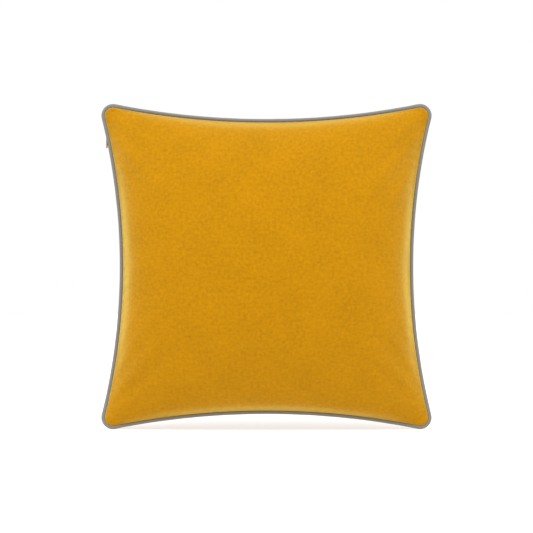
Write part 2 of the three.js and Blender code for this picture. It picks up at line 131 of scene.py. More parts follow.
# --- The cloth simulation ---
INFLATE_FRAMES = 48
DRAW_IN_FRAMES = 14
START_BULGE = 4 * MM
CLOTH = {
    "quality": 8,
    "mass": 0.3,
    "air_damping": 8,
    "tension_stiffness": 60,
    "compression_stiffness": 8,
    "shear_stiffness": 0.6,
    "bending_stiffness": 1.0,
    "tension_damping": 30,
    "compression_damping": 30,
    "shear_damping": 20,
    "use_pressure": True,
    "uniform_pressure_force": 10,
    "vertex_group_mass": "seam",  # the points that are held
}

# --- Colours ---
WHITE = (1, 1, 1)
VELVET_COLOUR = (0.448, 0.194, 0.0003)
SHEEN_COLOUR = (1.0, 0.89, 0.26)
PIPING_COLOUR = (0.22, 0.205, 0.18)
THREAD_COLOUR = (0.46, 0.21, 0.01)
TAPE_COLOUR = (0.42, 0.18, 0.008)
NYLON_COLOUR = (0.42, 0.19, 0.012)
METAL_COLOUR = (0.38, 0.175, 0.004)
CORD_COLOUR = (0.78, 0.74, 0.64)
CALICO_COLOUR = (0.82, 0.78, 0.7)
LABEL_COLOUR = (0.85, 0.85, 0.83)
FIBRE_COLOUR = (0.88, 0.88, 0.86)

# --- The camera and the light ---
PHOTO_WIDTH = 703.6 * MM  # what the picture's width covers at the pillow's middle plane
CAMERA_DISTANCE = 2.5
SENSOR = 36.0
FLOOR_HALF = 6.0
SUN_AZIMUTH = math.radians(-8)  # from -Y towards +X
SUN_ELEVATION = math.radians(66)
SUN_STRENGTH = 2.0
SUN_SPREAD = math.radians(40)


# --- Places on the outline ---

class Side:
    """One side of the outline: an arc that bows in between the rounds of two corners."""

    def __init__(self, index):
        upright = index % 2
        turn = index * math.pi / 2
        self.cos, self.sin = math.cos(turn), math.sin(turn)
        self.waist = WAIST_OUT[upright]
        self.out = CORNER_OUT[upright]
        self.along = CORNER_OUT[1 - upright]
        bow = self.waist - self.out
        self.radius = (bow**2 + self.along**2 - CORNER_RADIUS**2) / (2 * (CORNER_RADIUS - bow))
        self.half_angle = math.asin(self.along / (self.radius + CORNER_RADIUS))

    def half_length(self, depth):
        """From the side's middle to the start of a corner's round, depth inside the outline."""
        return (self.radius + depth) * self.half_angle


SIDES = [Side(index) for index in range(4)]
CORNER_SWEEP = math.pi / 2 + SIDES[0].half_angle + SIDES[1].half_angle


def reach(side, depth):
    """From a side's middle to the middle of the next corner, on a line inside the outline."""
    return side.half_length(depth) + (CORNER_RADIUS - depth) * CORNER_SWEEP / 2


class Places:
    """Places on the outline, each with its straight-out direction, in a plane about the middle."""

    def __init__(self, edge, out):
        self.edge = edge
        self.out = out

    def at(self, depth, y):
        """Points in from the outline by depth, at y: one number each, or one for each place."""
        flat = self.edge - self.out * np.reshape(depth, (-1, 1)) + (0, MIDDLE_Z)
        return np.insert(flat, 1, y, axis=1)

    def directions(self):
        """The straight-out directions, in space."""
        return np.insert(self.out, 1, 0, axis=1)


def places(index, lengths, depth):
    """Places along a side, at distances from its middle on the line that lies depth inside."""
    side = SIDES[index]
    lengths = np.asarray(lengths, float)
    half = side.half_length(depth)
    past = np.abs(lengths) - half
    bend = np.minimum(np.abs(lengths), half) / (side.radius + depth)
    turn = np.maximum(past, 0) / (CORNER_RADIUS - depth) - side.half_angle
    on_corner = past > 0
    direction = np.where(on_corner, turn, -bend)
    out = np.stack([np.cos(direction), np.sin(direction)], axis=1)
    bowed = side.waist + side.radius * (1 - np.cos(bend))
    on_side = np.stack([bowed, side.radius * np.sin(bend)], axis=1)
    on_round = np.array([side.out, side.along]) + CORNER_RADIUS * out
    edge = np.where(on_corner[:, None], on_round, on_side)
    mirror = np.where(lengths < 0, -1.0, 1.0)
    edge[:, 1] *= mirror
    out[:, 1] *= mirror
    rotation = np.array([[side.cos, side.sin], [-side.sin, side.cos]])
    return Places(edge @ rotation, out @ rotation)


def ring(spacing, depth):
    """Places evenly spaced all round, on the line that lies depth inside the outline."""
    parts = []
    for index, side in enumerate(SIDES):
        half = reach(side, depth)
        count = round(2 * half / spacing)
        parts.append(places(index, np.linspace(-half, half, count, endpoint=False), depth))
    edge = np.concatenate([part.edge for part in parts])
    out = np.concatenate([part.out for part in parts])
    return Places(edge, out)


# --- Meshes from grids of points ---

class Shape:
    """Points and faces, with a fabric coordinate in metres for each corner of a face."""

    def __init__(self):
        self.points = []
        self.faces = []
        self.coordinates = []

    def add(self, points):
        """Adds points, and gives their numbers."""
        first = sum(len(group) for group in self.points)
        self.points.append(points)
        return first + np.arange(len(points))

    def grid(self, points, fabric=None, close_rows=False, close_columns=False, flip=False):
        """Adds a grid of points, rows by columns, closed onto itself either way if asked."""
        rows, columns = points.shape[:2]
        if fabric is None:
            v = running_length(points[:, 0], close_rows)
            u = running_length(points[0], close_columns)
            fabric = np.stack(np.meshgrid(v, u, indexing="ij"), axis=-1)
        i = np.arange(rows if close_rows else rows - 1)[:, None]
        j = np.arange(columns if close_columns else columns - 1)[None, :]
        corners = [(i, j), (i, j + 1), (i + 1, j + 1), (i + 1, j)]
        if flip:
            corners.reverse()
        numbers = self.add(points.reshape(-1, 3)).reshape(rows, columns)
        index = [numbers[a % rows, b % columns] for a, b in corners]
        self.faces.append(np.stack(np.broadcast_arrays(*index), axis=-1).reshape(-1, 4))
        uv = [fabric[a, b] for a, b in corners]
        self.coordinates.append(np.stack(np.broadcast_arrays(*uv), axis=2).reshape(-1, 4, 2))
        return numbers

    def polygons(self, index, fabric=None):
        """Adds faces by the numbers of points that are already here."""
        index = np.atleast_2d(index)
        self.faces.append(index)
        if fabric is None:
            fabric = np.zeros(index.shape + (2,))
        self.coordinates.append(fabric)

    def solid(self, sections):
        """Adds a solid that runs through closed sections, with a face over each end."""
        numbers = self.grid(np.array(sections), close_columns=True)
        self.polygons(numbers[0])
        self.polygons(numbers[-1][::-1])


def running_length(points, closed):
    """The length along a row of points up to each of them, and on round to the first if closed."""
    if closed:
        points = np.concatenate([points, points[:1]])
    return np.concatenate([[0], np.cumsum(np.linalg.norm(np.diff(points, axis=0), axis=1))])


def mesh_from(name, shape):
    """A Blender mesh with smooth faces and its fabric coordinates as a UV map."""
    mesh = bpy.data.meshes.new(name)
    faces = [face for group in shape.faces for face in group.tolist()]
    mesh.from_pydata(np.concatenate(shape.points).tolist(), [], faces)
    layer = mesh.uv_layers.new(name="fabric")
    flat = np.concatenate([group.reshape(-1, 2) for group in shape.coordinates])
    layer.data.foreach_set("uv", flat.ravel())
    mesh.shade_smooth()
    mesh.update()
    return mesh


def placed(name, data):
    """A new object in the scene."""
    made = bpy.data.objects.new(name, data)
    bpy.context.scene.collection.objects.link(made)
    return made


def piece(name, shape, slot, body="cover_and_pad", at=None):
    """An object of the pillow, moved by at: it rides on a body and replaces its name's CAD node."""
    mesh = shape if isinstance(shape, bpy.types.Mesh) else mesh_from(name, shape)
    if at:
        mesh.transform(at)
    outward(mesh)
    made = placed(name + "_made", mesh)
    made.data.materials.append(MATERIALS[slot])
    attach(made, body)
    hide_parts(name)
    return made


# --- Node materials ---

class Nodes:
    """A short way to build a material's nodes."""

    def __init__(self, name):
        self.material = bpy.data.materials.new(name)
        self.material.use_nodes = True
        self.tree = self.material.node_tree
        self.shader = self.tree.nodes["Principled BSDF"]

    def add(self, kind, settings=None, **inputs):
        node = self.tree.nodes.new("ShaderNode" + kind)
        for key, value in (settings or {}).items():
            setattr(node, key, value)
        for key, value in inputs.items():
            self.put(node, key.replace("_", " "), value)
        return node

    def put(self, node, socket, value):
        target = node.inputs[socket]
        if isinstance(value, bpy.types.NodeSocket):
            self.tree.links.new(value, target)
        else:
            target.default_value = value

    def surface(self, colour, roughness, specular=0.5, sheen=(0, 0.5), **inputs):
        """Sets the shader's sockets. sheen is its weight and its roughness."""
        inputs.update(Base_Color=colour, Roughness=roughness, Specular_IOR_Level=specular)
        inputs.update(Sheen_Weight=sheen[0], Sheen_Roughness=sheen[1])
        for key, value in inputs.items():
            self.put(self.shader, key.replace("_", " "), value)

    def math(self, operation, first, second):
        node = self.add("Math", {"operation": operation})
        self.put(node, 0, first)
        self.put(node, 1, second)
        return node.outputs[0]

    def fabric(self):
        """The fabric coordinates, in millimetres."""
        return self.millimetres(self.add("UVMap", {"uv_map": "fabric"}).outputs["UV"])

    def place(self):
        """The place on the object, in millimetres."""
        return self.millimetres(self.add("TexCoord").outputs["Object"])

    def millimetres(self, metres):
        node = self.add("VectorMath", {"operation": "SCALE"}, Scale=1000)
        self.put(node, 0, metres)
        return node.outputs[0]

    def mixed(self, *parts):
        """The sum of (socket, weight) parts."""
        total = None
        for socket, weight in parts:
            part = self.math("MULTIPLY", socket, weight)
            total = part if total is None else self.math("ADD", total, part)
        return total

    def turned(self, vector, scale=(1, 1, 1), angle=0.0):
        return self.add("Mapping", Vector=vector, Rotation=(0, 0, angle), Scale=scale).outputs[0]

    def noise(self, vector, size, detail=2.0, roughness=0.5):
        """Soft noise from about 0 to 1, with features of a size in the vector's units."""
        settings = {"Scale": 1 / size, "Detail": detail, "Roughness": roughness}
        return self.add("TexNoise", Vector=vector, **settings).outputs["Fac"]

    def threads(self, vector, period, direction, wobble):
        """Bands from 0 to 1, one for each thread."""
        inputs = {"Scale": math.pi / 10 / period, "Distortion": wobble, "Detail": 1, "Detail_Scale": 0.3}
        node = self.add("TexWave", {"bands_direction": direction}, Vector=vector, **inputs)
        return node.outputs["Fac"]

    def shaded(self, factor, colour, *stops):
        """Shades of a colour: each stop is a place on the ramp and the colour's factor there."""
        node = self.add("ValToRGB", Fac=factor)
        elements = node.color_ramp.elements
        while len(elements) < len(stops):
            elements.new(0.5)
        for element, (where, shade) in zip(elements, stops):
            element.position = where
            element.color = (*(channel * shade for channel in colour), 1)
        return node.outputs["Color"]

    def bump(self, height, distance, strength):
        node = self.add("Bump", Height=height, Distance=distance, Strength=strength)
        self.put(self.shader, "Normal", node.outputs["Normal"])


def velvet_material():
    """Mustard velvet: short flecked pile on a fine rib, with a pale sheen at its rims."""
    nodes = Nodes("velvet")
    fabric = nodes.fabric()
    pile = nodes.noise(fabric, 45, 3, 0.55)
    fleck = nodes.noise(fabric, 4.2)
    warp_slub = nodes.noise(nodes.turned(fabric, (1, 0.3, 1)), 3.0, 2, 0.6)
    weft_slub = nodes.noise(nodes.turned(fabric, (0.3, 1, 1)), 2.6, 2, 0.6)
    rib = nodes.threads(fabric, 1.15, "Y", 1.2)
    warp = nodes.threads(fabric, 1.0, "X", 1.2)
    mix = nodes.mixed((pile, 0.2), (warp_slub, 0.18), (weft_slub, 0.2), (fleck, 0.42))
    colour = nodes.shaded(mix, VELVET_COLOUR, (0.3, 0.76), (0.5, 1), (0.7, 1.22))
    nodes.surface(colour, 0.95, 0.02, sheen=(0.85, 0.48), Sheen_Tint=(*SHEEN_COLOUR, 1))
    nodes.bump(nodes.mixed((rib, 0.3), (warp, 0.2), (fleck, 0.8)), 0.25 * MM, 0.5)
    return nodes.material


def woven_material(name, colour, period, angle=0.0, sheen=0.15, contrast=0.14):
    """Plain woven cloth: two sets of threads that cross, uneven from thread to thread."""
    nodes = Nodes(name)
    fabric = nodes.turned(nodes.fabric(), angle=angle)
    weft = nodes.threads(fabric, period, "Y", 0.6)
    warp = nodes.threads(fabric, period, "X", 0.6)
    slub = nodes.noise(nodes.turned(fabric, (0.2, 1, 1)), period * 2.5, 2, 0.6)
    cloud = nodes.noise(fabric, 18)
    weave = nodes.math("MAXIMUM", weft, warp)
    mix = nodes.mixed((weave, 0.45), (slub, 0.35), (cloud, 0.2))
    shades = nodes.shaded(mix, colour, (0.25, 1 - contrast), (0.8, 1 + contrast))
    nodes.surface(shades, 0.9, 0.2, sheen=(sheen, 0.4))
    nodes.bump(nodes.mixed((weave, 1), (slub, 0.6)), 0.12 * MM, 0.8)
    return nodes.material


def thread_material(name, colour):
    """Twisted thread: strands that wind round it, with a painted highlight on their crowns and painted
    shade between them.
    """
    nodes = Nodes(name)
    fabric = nodes.turned(nodes.fabric(), angle=math.radians(35))
    twist = nodes.threads(fabric, 0.35, "X", 0.4)
    fuzz = nodes.noise(nodes.fabric(), 0.3, 2, 0.7)
    mix = nodes.mixed((twist, 0.6), (fuzz, 0.4))
    # The ramp paints the twist's shade between the strands and a highlight on their crowns; the fuzz
    # adds uneven tone.
    shades = nodes.shaded(mix, colour, (0.2, 0.7), (0.8, 1.15))
    nodes.surface(shades, 0.65, 0.35, sheen=(0.25, 0.4))
    nodes.bump(mix, 0.08 * MM, 0.8)
    return nodes.material


def nylon_material():
    """Smooth nylon filament, faintly uneven in colour and gloss."""
    nodes = Nodes("zip_coil")
    place = nodes.place()
    cloud = nodes.noise(place, 6)
    colour = nodes.shaded(cloud, NYLON_COLOUR, (0.3, 0.88), (0.7, 1.1))
    roughness = nodes.shaded(cloud, WHITE, (0.3, 0.3), (0.7, 0.4))
    nodes.surface(colour, roughness, Coat_Weight=0.2, Coat_Roughness=0.2)
    nodes.bump(nodes.noise(place, 0.25), 0.01 * MM, 0.5)
    return nodes.material


def metal_material():
    """Gold painted metal: satin, brushed by handling and duller in patches."""
    nodes = Nodes("gold_metal")
    place = nodes.place()
    patch = nodes.noise(place, 3, 3, 0.6)
    brushed = nodes.noise(nodes.turned(place, (1, 1, 0.08)), 0.18, 2, 0.6)
    colour = nodes.shaded(patch, METAL_COLOUR, (0.3, 0.82), (0.7, 1.12))
    roughness = nodes.shaded(brushed, WHITE, (0.3, 0.3), (0.7, 0.44))
    nodes.surface(colour, roughness, Metallic=0.85)
    nodes.bump(brushed, 0.012 * MM, 0.6)
    return nodes.material


def fibre_material():
    """White polyester fibre: soft, clumped and full of fine hairs."""
    nodes = Nodes("fibre")
    place = nodes.place()
    clump = nodes.noise(place, 9, 4, 0.65)
    hair = nodes.noise(nodes.turned(place, (1, 0.3, 0.3)), 0.9, 3, 0.7)
    mix = nodes.mixed((clump, 0.6), (hair, 0.4))
    shades = nodes.shaded(mix, FIBRE_COLOUR, (0.25, 0.85), (0.75, 1))
    nodes.surface(shades, 1.0, 0.1, sheen=(0.6, 0.5))
    nodes.bump(mix, 1.2 * MM, 0.8)
    return nodes.material


MATERIALS = {  # by the record's slot names
    "velvet": velvet_material(),
    "piping_cloth": woven_material("piping_cloth", PIPING_COLOUR, 0.45, math.radians(45)),
    "thread": thread_material("thread", THREAD_COLOUR),
    "zip_tape": woven_material("zip_tape", TAPE_COLOUR, 0.4, math.radians(35)),
    "zip_coil": nylon_material(),
    "gold_metal": metal_material(),
    "cotton_cord": thread_material("cotton_cord", CORD_COLOUR),
    "calico": woven_material("calico", CALICO_COLOUR, 0.5, contrast=0.06),
    "label": woven_material("label", LABEL_COLOUR, 0.25, contrast=0.03, sheen=0.3),
    "fibre": fibre_material(),
    "pad_thread": thread_material("pad_thread", LABEL_COLOUR),
}


# --- The cover panels ---

def coons(edges):
    """A grid stretched between four edges, sides 0 to 3, each in its own direction of travel."""
    right, top, left, bottom = edges
    top = top[::-1]
    left = left[::-1]
    count = len(right)
    across = np.linspace(0, 1, count)[None, :, None]
    up = np.linspace(0, 1, count)[:, None, None]
    between = (1 - up) * bottom[None] + up * top[None]
    between += (1 - across) * left[:, None] + across * right[:, None]
    corners = (1 - across) * (1 - up) * bottom[0] + across * (1 - up) * bottom[-1]
    corners = corners + (1 - across) * up * top[0] + across * up * top[-1]
    return between - corners


def channel_shift(index, lengths):
    """How far the zip's channel pushes the back panel's edge back, along a side."""
    if index == ZIP_SIDE:
        distance = np.abs(lengths)
    elif index % 2:
        far = reach(SIDES[ZIP_SIDE], 0)
        toward = lengths if (index + 1) % 4 == ZIP_SIDE else -lengths
        distance = far + reach(SIDES[index], 0) - toward
    else:
        return np.zeros_like(lengths)
    past = np.clip((distance - CHANNEL_END) / CHANNEL_BLEND, 0, 1)
    return CHANNEL_SHIFT * (1 - past * past * (3 - 2 * past))


def seam_edges(count, depth, y, face, extra=0.0):
    """A panel's edge along each side. face is -1 for the front panel and 1 for the back one."""
    edges = []
    for index, side in enumerate(SIDES):
        half = reach(side, SEAM_DEPTH)
        lengths = np.linspace(-half, half, count)
        shift = channel_shift(index, lengths) if face > 0 else np.zeros(count)
        corner = corner_share(index, lengths)
        edges.append(places(index, lengths, SEAM_DEPTH).at(depth + extra * corner, face * (y + shift)))
    return edges


def corner_share(index, lengths):
    """From 0 along a side to 1 at the middle of a corner's round."""
    half = SIDES[index].half_length(SEAM_DEPTH)
    return np.clip((np.abs(lengths) - half + CORNER_START) / CORNER_BLEND, 0, 1)


def cut_edges(count):
    """The edges of the flat square that a panel is cut from, with rounded corners."""
    half = FABRIC_SIDE / 2 - FABRIC_CORNER
    total = half + FABRIC_CORNER * math.pi / 4
    lengths = np.linspace(-total, total, count)
    turn = np.maximum(np.abs(lengths) - half, 0) / FABRIC_CORNER
    out = half + FABRIC_CORNER * np.cos(turn)
    along = np.sign(lengths) * (np.minimum(np.abs(lengths), half) + FABRIC_CORNER * np.sin(turn))
    edges = []
    for side in SIDES:
        x = out * side.cos - along * side.sin
        z = out * side.sin + along * side.cos
        edges.append(np.stack([x, np.zeros(count), z + MIDDLE_Z], axis=1))
    return edges


def inflate(cut, sewn, face):
    """Cloth simulation of a panel: its flat cut is drawn in to its seam and filled from inside."""
    count = len(cut)
    bulge = np.linspace(-1, 1, count)
    start = cut.copy()
    start[..., 1] += face * START_BULGE * (1 - bulge[None, :] ** 2) * (1 - bulge[:, None] ** 2)
    shape = Shape()
    shape.grid(start, flip=face > 0)
    cloth = placed("cloth", mesh_from("cloth", shape))
    seam = cloth.vertex_groups.new(name="seam")
    seam.add(np.flatnonzero(edge_rings(count) == 0).tolist(), 1, "REPLACE")
    cloth.shape_key_add(name="cut")
    key = cloth.shape_key_add(name="sewn")
    key.data.foreach_set("co", sewn.ravel())
    for value, when in ((0, 1), (1, DRAW_IN_FRAMES)):
        key.value = value
        key.keyframe_insert("value", frame=when)
    modifier = cloth.modifiers.new("cloth", "CLOTH")
    settings = modifier.settings
    for key, value in CLOTH.items():
        setattr(settings, key, value)
    settings.effector_weights.gravity = 0
    modifier.collision_settings.use_collision = False
    modifier.point_cache.frame_end = INFLATE_FRAMES
    for now in range(1, INFLATE_FRAMES + 1):
        bpy.context.scene.frame_set(now)
    graph = bpy.context.evaluated_depsgraph_get()
    result = np.empty(count * count * 3)
    cloth.evaluated_get(graph).data.vertices.foreach_get("co", result)
    bpy.data.objects.remove(cloth)
    bpy.context.scene.frame_set(1)
    return result.reshape(count, count, 3)


def refined(grid):
    """Twice as many points each way, on smooth curves through the old ones."""
    for axis in (0, 1):
        grid = np.moveaxis(grid, axis, 0)
        first = 2 * grid[0] - grid[1]
        last = 2 * grid[-1] - grid[-2]
        wide = np.concatenate([first[None], grid, last[None]])
        between = (9 * (wide[1:-2] + wide[2:-1]) - wide[:-3] - wide[3:]) / 16
        fine = np.empty((2 * len(grid) - 1,) + grid.shape[1:])
        fine[::2] = grid
        fine[1::2] = between
        grid = np.moveaxis(fine, 0, axis)
    return grid


def normals_of(grid, face):
    """Unit normals of a grid, pointing out of the pillow."""
    across = np.gradient(grid, axis=1)
    up = np.gradient(grid, axis=0)
    normal = np.cross(up, across) * face
    return normal / np.linalg.norm(normal, axis=2, keepdims=True)


def relaxed(grid):
    """A grid whose inner points are eased towards their neighbours, so that its folds soften."""
    for _ in range(RELAX_PASSES):
        near = (grid[:-2, 1:-1] + grid[2:, 1:-1] + grid[1:-1, :-2] + grid[1:-1, 2:]) / 4
        grid[1:-1, 1:-1] += (near - grid[1:-1, 1:-1]) * 0.5
    return grid


def held_in(grid, rise):
    """Keeps a panel from bulging out over its seam: it leans in as it rises."""
    share = np.clip(edge_rings(len(grid)) / 2, 0, 1)[..., None]
    for side in SIDES:
        centre = (side.waist + side.radius) * np.array([side.cos, side.sin])
        away = grid[..., [0, 2]] - (0, MIDDLE_Z) - centre
        distance = np.linalg.norm(away, axis=2)
        short = SEAM_DEPTH + SEAM_LEAN * rise - (distance - side.radius)
        push = LEAN_BLEND * np.log1p(np.exp(short / LEAN_BLEND))
        grid[..., [0, 2]] += away * (push / distance)[..., None] * share
    return grid


def soft_noise(seed, count, cells):
    """Smooth noise on a square grid from -1 to 1, with about cells bumps along it."""
    random = np.random.default_rng(seed)
    total = np.zeros((count, count))
    a, b = np.meshgrid(*[np.linspace(0, 2 * math.pi, count)] * 2, indexing="ij")
    for _ in range(24):
        direction = random.uniform(0, math.pi)
        turns = cells * random.uniform(0.6, 1.3) / 2
        phase = random.uniform(0, 2 * math.pi)
        total += np.sin(turns * (a * math.cos(direction) + b * math.sin(direction)) + phase)
    return total / np.abs(total).max()


def ripples(seed, cut):
    """Height of the sewn puckers: short folds square to the seam that die away from it."""
    random = np.random.default_rng(seed)
    half = FABRIC_SIDE / 2
    x = cut[..., 0]
    z = cut[..., 2] - MIDDLE_Z
    total = np.zeros(x.shape)
    for along, across in ((x, z), (z, x)):
        for sign in (-1, 1):
            depth = half - sign * across
            fade = np.exp(-depth / RIPPLE_REACH) * np.clip((half - np.abs(along)) / (40 * MM), 0, 1)
            for _ in range(9):
                length = random.uniform(11, 26) * MM
                phase = random.uniform(0, 2 * math.pi)
                middle = random.uniform(-0.8, 0.8) * half
                width = random.uniform(0.2, 0.6) * half
                window = np.exp(-(((along - middle) / width) ** 2))
                lean = random.uniform(-0.35, 0.35)
                wave = np.sin(2 * math.pi * (along + lean * depth) / length + phase)
                total += wave * window * fade * random.uniform(0.4, 1)
    return total


def cover_panel(name, face):
    """A velvet panel: simulated outer face, turned-in allowance and inner face, closed."""
    cut = coons(cut_edges(COARSE))
    sewn = coons(seam_edges(COARSE, SEAM_DEPTH, SEAM_Y, face))
    outer = refined(inflate(cut, sewn, face))
    fine_cut = refined(cut)
    count = len(outer)
    seat(outer, seam_edges(count, SEAM_DEPTH, SEAM_Y, face))
    seam_y = sewn_y(count, face)
    rise = face * (outer[..., 1] - seam_y)
    rise *= CROWN_HEIGHT / rise.max()
    outer[..., 1] = seam_y + face * rise
    outer = relaxed(held_in(outer, rise))
    relief = ripples(11 + face, fine_cut) * RIPPLE_HEIGHT
    relief += UNEVENNESS * soft_noise(21 + face, count, 9)
    from_edge = edge_rings(count)
    relief *= np.clip(from_edge / 3, 0, 1)
    outer += normals_of(outer, face) * relief[..., None]
    rise = face * (outer[..., 1] - seam_y)
    lowest = OUTER_RISE * np.clip(from_edge, 0, 1)
    outer[..., 1] = seam_y + face * np.maximum(rise, lowest)
    inner = outer - normals_of(outer, face) * VELVET
    rise = face * (inner[..., 1] - seam_y)
    inner[..., 1] = seam_y + face * np.maximum(rise, INNER_RISE)
    stack = ALLOWANCE_Y + VELVET
    seat(inner, seam_edges(count, INNER_DEPTH, stack, face, CORNER_DEPTH))
    turned_in = [
        seam_edges(count, SEAM_DEPTH + 0.25 * MM, ALLOWANCE_Y, face),
        seam_edges(count, ALLOWANCE_DEPTH, ALLOWANCE_Y, face),
        seam_edges(count, ALLOWANCE_DEPTH, stack, face),
    ]
    shape = shell(outer, inner, turned_in, fine_cut[..., [0, 2]], face)
    piece(name, shape, "velvet")
    return outer


def shell(outer, inner, turned_in, fabric, face):
    """A closed shape: an outer face, closed rows that turn its edge in, and an inner face."""
    shape = Shape()
    first = shape.grid(outer, fabric, flip=face > 0)
    second = shape.grid(inner, fabric, flip=face < 0)
    rows = [shape.add(np.concatenate([edge[:-1] for edge in edges])) for edges in turned_in]
    join_rows(shape, [border_of(first), *rows, border_of(second)], flip=face > 0)
    return shape


def sewn_y(count, face):
    """The seam's y, spread over the panel: it follows the zip's channel near the -X side."""
    y = coons(seam_edges(count, SEAM_DEPTH, SEAM_Y, face))[..., 1]
    near = np.clip(1 - edge_rings(count) / (0.12 * count), 0, 1)
    return face * SEAM_Y + (y - face * SEAM_Y) * near


def edge_rings(count):
    """How many rows each point of a grid is in from its border."""
    index = np.arange(count)
    near = np.minimum(index, index[::-1])
    return np.minimum.outer(near, near)


def seat(grid, edges):
    """Puts a grid's border exactly on four edges."""
    right, top, left, bottom = edges
    grid[:, -1] = right
    grid[-1] = top[::-1]
    grid[:, 0] = left[::-1]
    grid[0] = bottom


def border_of(grid):
    """A grid's border points in order: right side up, top, left side down, bottom."""
    return np.concatenate([grid[:-1, -1], grid[-1, :0:-1], grid[:0:-1, 0], grid[0, :-1]])


def join_rows(shape, rows, flip=False):
    """Faces between neighbouring closed rows of points, which are given by their numbers."""
    points = np.concatenate(shape.points)
    lengths = running_length(points[rows[0]], True)
    start, end = lengths[:-1], lengths[1:]
    zero = np.zeros_like(start)
    for here, there in zip(rows, rows[1:]):
        width = np.linalg.norm(points[there] - points[here], axis=1)
        corners = ((start, zero), (start, width), (end, width), (end, zero))
        uv = np.stack([np.stack(corner, axis=1) for corner in corners], axis=1)
        quads = np.stack([here, there, np.roll(there, -1), np.roll(here, -1)], axis=1)
        order = slice(None, None, -1 if flip else 1)
        shape.polygons(quads[:, order], uv[:, order])


# --- The piping ---

def arc_section(radius, start, end, count):
    """Points on a circle about the piping's middle line, in degrees from straight in."""
    angle = np.radians(np.linspace(start, end, count))
    return np.stack([PIPING_RADIUS + radius * np.cos(angle), radius * np.sin(angle)], axis=1)


def piping_sleeve():
    """The sleeve, as one closed section: round the cord, then down both tails of the flange."""
    top = FLANGE_Y + SLEEVE
    outside = np.array([(ALLOWANCE_DEPTH, top), (9 * MM, top), (6 * MM, top)])
    inside = np.array([(ALLOWANCE_DEPTH, -FLANGE_Y), (6 * MM, -FLANGE_Y)])
    mirror = (1, -1)
    section = np.concatenate([
        outside, arc_section(PIPING_RADIUS, 22, 338, 22), outside[::-1] * mirror,
        inside, arc_section(PIPING_RADIUS - SLEEVE, 326, 34, 14), inside[::-1] * mirror,
    ])
    at = ring(2.4 * MM, PIPING_RADIUS)
    rows = np.stack([at.at(depth, y) for depth, y in section], axis=1)
    random = np.random.default_rng(5)
    swell = random.normal(0, 0.05, 160)
    swell[-1] = swell[0]
    swell = np.interp(np.arange(len(rows)), np.linspace(0, len(rows), 160), swell)
    middle = at.at(PIPING_RADIUS, 0)[:, None]
    offset = rows - middle
    near = np.exp(-((np.linalg.norm(offset, axis=2) / (3.2 * MM)) ** 8))
    rows = middle + offset * (1 + swell[:, None] * near * 0.5)[..., None]
    shape = Shape()
    shape.grid(rows, close_rows=True, close_columns=True)
    piece("piping_sleeve", shape, "piping_cloth")


# --- Tubes, threads and rows of stitches ---

def tube(shape, path, reference, radius, sides=6, closed=False):
    """Adds a round tube along a path. reference is one direction or one for each point."""
    if closed:
        tangent = np.roll(path, -1, axis=0) - np.roll(path, 1, axis=0)
    else:
        tangent = np.gradient(path, axis=0)
    tangent /= np.linalg.norm(tangent, axis=1, keepdims=True)
    aside = np.cross(tangent, reference)
    aside /= np.linalg.norm(aside, axis=1, keepdims=True)
    up = np.cross(tangent, aside)
    angle = np.linspace(0, 2 * math.pi, sides, endpoint=False)[None, :, None]
    radius = np.broadcast_to(radius, len(path))[:, None, None]
    rows = path[:, None] + radius * (np.cos(angle) * aside[:, None] + np.sin(angle) * up[:, None])
    numbers = shape.grid(rows, close_rows=closed, close_columns=True)
    if not closed:
        shape.polygons(numbers[0][::-1])
        shape.polygons(numbers[-1])


def swings(depth, steps):
    """Places all round for a thread that swings to and fro, and its phase at each of them."""
    at = ring(OVERLOCK_PITCH / steps, depth)
    count = len(at.edge) // steps * steps
    return Places(at.edge[:count], at.out[:count]), np.arange(count) * 2 * math.pi / steps


def cover_seam_thread():
    """The overlock row: a thread that crosses the raw edges, and two that run along them."""
    shape = Shape()
    depth = ALLOWANCE_DEPTH + 0.7 * MM
    at, phase = swings(depth, 8)
    tube(shape, at.at(depth, 1.5 * MM * np.sin(phase)), at.directions(), OVERLOCK_RADIUS, 5, True)
    for y in (-1.62, 1.62):
        tube(shape, at.at(depth, y * MM)[::3], at.directions()[::3], OVERLOCK_RADIUS, 5, True)
    piece("cover_seam_thread", shape, "thread")


def piping_cord():
    """Three strands laid round each other inside the sleeve."""
    shape = Shape()
    spacing = 1.8 * MM
    at = ring(spacing, PIPING_RADIUS)
    count = len(at.edge)
    turns = round(count * spacing / STRAND_LAY)
    for strand in range(3):
        phase = np.arange(count) * 2 * math.pi * turns / count + strand * 2 * math.pi / 3
        path = at.at(PIPING_RADIUS + STRAND_ORBIT * np.cos(phase), STRAND_ORBIT * np.sin(phase))
        tube(shape, path, (0, 1, 0), STRAND_RADIUS, 6, True)
    piece("piping_cord", shape, "cotton_cord")


# --- The zip ---

def zip_lengths(angle, depth, count):
    """Distances along the zip's side between the same angle below and above its middle."""
    half = (SIDES[ZIP_SIDE].radius + depth) * angle
    return np.linspace(-half, half, count)


def tape_far(face):
    """Where a tape's turned-in part lies: against the piping's side or the back panel's."""
    return ALLOWANCE_Y if face < 0 else ALLOWANCE_Y + CHANNEL_SHIFT - 0.3 * MM


